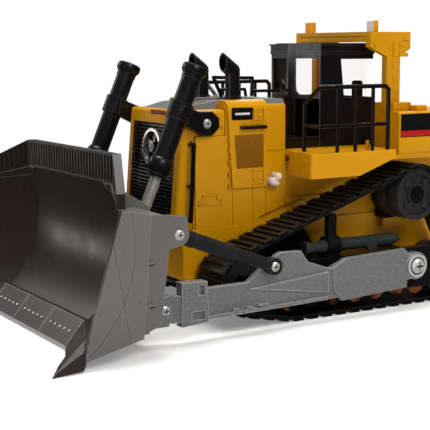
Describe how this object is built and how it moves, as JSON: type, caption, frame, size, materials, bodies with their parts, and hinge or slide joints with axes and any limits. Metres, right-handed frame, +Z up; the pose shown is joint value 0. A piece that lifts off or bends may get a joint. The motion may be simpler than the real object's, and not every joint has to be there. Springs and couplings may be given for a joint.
{
  "type": "toy bulldozer",
  "caption": "Toy crawler bulldozer with high-drive tracks, a winged blade on push arms and lift cylinders, a rear ripper, a glazed cab and a canopy.",
  "frame": {"origin": "on the ground, below the middle of the overall length and width", "axes": "+X forward towards the blade, +Y to the left side, +Z up"},
  "size_m": [0.21, 0.1124, 0.0971],
  "materials": {
    "yellow_paint": "satin",
    "blade_grey": "satin",
    "guard_black": "satin",
    "edge_steel": "satin",
    "arm_grey": "fine metallic",
    "cover_grey": "satin",
    "frame_black": "satin",
    "black_plastic": "satin",
    "brace_black": "satin",
    "recoil_grey": "satin",
    "roller_orange": "satin",
    "track_black": "satin",
    "wheel_black": "satin",
    "clear_pane": "clear",
    "chrome": "polished",
    "screw_steel": "satin",
    "lamp_silver": "satin",
    "lamp_white": "gloss"
  },
  "bodies": {
    "root": {"air_canister": "black_plastic", "axle_pins": "frame_black", "belly_plate": "frame_black", "cab_glazing": "clear_pane", "cab_roof": "black_plastic", "cab_shell": "black_plastic", "control_console": "black_plastic", "cooling_fan": "chrome", "engine_door_left": "yellow_paint", "engine_door_right": "yellow_paint", "engine_hood": "yellow_paint", "exhaust_stacks": "black_plastic", "final_drive_left": "frame_black", "final_drive_right": "frame_black", "fixed_screws": "screw_steel", "fuel_tank": "yellow_paint", "grab_rails": "black_plastic", "hood_cover": "cover_grey", "hood_rail": "black_plastic", "hull": "yellow_paint", "operator_seat": "black_plastic", "platform_left": "yellow_paint", "platform_rails": "black_plastic", "platform_right": "yellow_paint", "radiator_grille": "black_plastic", "radiator_guard": "yellow_paint", "recoil_tube_left": "recoil_grey", "recoil_tube_right": "recoil_grey", "ripper_mount": "blade_grey", "roller_strips": "roller_orange", "rops_frame": "yellow_paint", "rops_lamps": "lamp_silver", "side_lamps": "lamp_white", "track_frame_left": "frame_black", "track_frame_right": "frame_black", "track_left": "track_black", "track_right": "track_black"},
    "blade": {"moldboard": "blade_grey", "rock_guard": "guard_black", "cutting_edge": "edge_steel", "blade_screws": "screw_steel", "push_arm_left": "arm_grey", "push_arm_right": "arm_grey", "tilt_brace_left": "brace_black", "tilt_brace_right": "brace_black"},
    "ripper": {"ripper_beam": "frame_black", "ripper_shanks": "frame_black"},
    "ripper_barrels": {"ripper_barrels": "black_plastic"},
    "ripper_rods": {"ripper_rods": "chrome"},
    "lift_barrel_left": {"lift_barrel_left": "black_plastic"},
    "lift_rod_left": {"lift_rod_left": "chrome"},
    "sprocket_left": {"sprocket_left": "wheel_black"},
    "front_idler_left": {"front_idler_left": "wheel_black"},
    "rear_idler_left": {"rear_idler_left": "wheel_black"},
    "lift_barrel_right": {"lift_barrel_right": "black_plastic"},
    "lift_rod_right": {"lift_rod_right": "chrome"},
    "sprocket_right": {"sprocket_right": "wheel_black"},
    "front_idler_right": {"front_idler_right": "wheel_black"},
    "rear_idler_right": {"rear_idler_right": "wheel_black"}
  },
  "joints": [
    {"name": "blade_lift", "type": "hinge", "parent": "root", "child": "blade", "pos_m": [-0.034, 0, 0.0147], "axis": [0, -1, 0], "range_deg": [0, 11]},
    {"name": "lift_barrel_swing_left", "type": "hinge", "parent": "root", "child": "lift_barrel_left", "pos_m": [0.035, 0.0189, 0.064], "axis": [0, -1, 0], "range_deg": [0, 8]},
    {"name": "lift_rod_stroke_left", "type": "slide", "parent": "lift_barrel_left", "child": "lift_rod_left", "axis": [0.393, 0, -0.9195], "range_m": [-0.0172, 0]},
    {"name": "lift_barrel_swing_right", "type": "hinge", "parent": "root", "child": "lift_barrel_right", "pos_m": [0.035, -0.0189, 0.064], "axis": [0, -1, 0], "range_deg": [0, 8]},
    {"name": "lift_rod_stroke_right", "type": "slide", "parent": "lift_barrel_right", "child": "lift_rod_right", "axis": [0.393, 0, -0.9195], "range_m": [-0.0172, 0]},
    {"name": "ripper_lift", "type": "hinge", "parent": "root", "child": "ripper", "pos_m": [-0.0715, 0, 0.018], "axis": [0, 1, 0], "range_deg": [0, 15]},
    {"name": "ripper_barrel_swing", "type": "hinge", "parent": "root", "child": "ripper_barrels", "pos_m": [-0.072, 0, 0.039], "axis": [0, 1, 0], "range_deg": [0, 9]},
    {"name": "ripper_rod_stroke", "type": "slide", "parent": "ripper_barrels", "child": "ripper_rods", "axis": [-0.8614, 0, -0.508], "range_m": [-0.0051, 0]},
    {"name": "sprocket_spin_left", "type": "hinge", "parent": "root", "child": "sprocket_left", "pos_m": [-0.0401, 0.03, 0.0377], "axis": [0, 1, 0], "continuous": true},
    {"name": "front_idler_spin_left", "type": "hinge", "parent": "root", "child": "front_idler_left", "pos_m": [0.0293, 0.03, 0.014], "axis": [0, 1, 0], "continuous": true},
    {"name": "rear_idler_spin_left", "type": "hinge", "parent": "root", "child": "rear_idler_left", "pos_m": [-0.0535, 0.03, 0.0107], "axis": [0, 1, 0], "continuous": true},
    {"name": "sprocket_spin_right", "type": "hinge", "parent": "root", "child": "sprocket_right", "pos_m": [-0.0401, -0.03, 0.0377], "axis": [0, 1, 0], "continuous": true},
    {"name": "front_idler_spin_right", "type": "hinge", "parent": "root", "child": "front_idler_right", "pos_m": [0.0293, -0.03, 0.014], "axis": [0, 1, 0], "continuous": true},
    {"name": "rear_idler_spin_right", "type": "hinge", "parent": "root", "child": "rear_idler_right", "pos_m": [-0.0535, -0.03, 0.0107], "axis": [0, 1, 0], "continuous": true}
  ],
  "couplings": [
    {"joint": "lift_barrel_swing_left", "follows": "blade_lift", "ratio": 0.69993},
    {"joint": "lift_rod_stroke_left", "follows": "blade_lift", "m_per_rad": -0.087195},
    {"joint": "lift_barrel_swing_right", "follows": "blade_lift", "ratio": 0.69993},
    {"joint": "lift_rod_stroke_right", "follows": "blade_lift", "m_per_rad": -0.087195},
    {"joint": "ripper_barrel_swing", "follows": "ripper_lift", "ratio": 0.5573},
    {"joint": "ripper_rod_stroke", "follows": "ripper_lift", "m_per_rad": -0.01897},
    {"joint": "front_idler_spin_left", "follows": "sprocket_spin_left", "ratio": 1},
    {"joint": "rear_idler_spin_left", "follows": "sprocket_spin_left", "ratio": 1},
    {"joint": "front_idler_spin_right", "follows": "sprocket_spin_right", "ratio": 1},
    {"joint": "rear_idler_spin_right", "follows": "sprocket_spin_right", "ratio": 1}
  ]
}
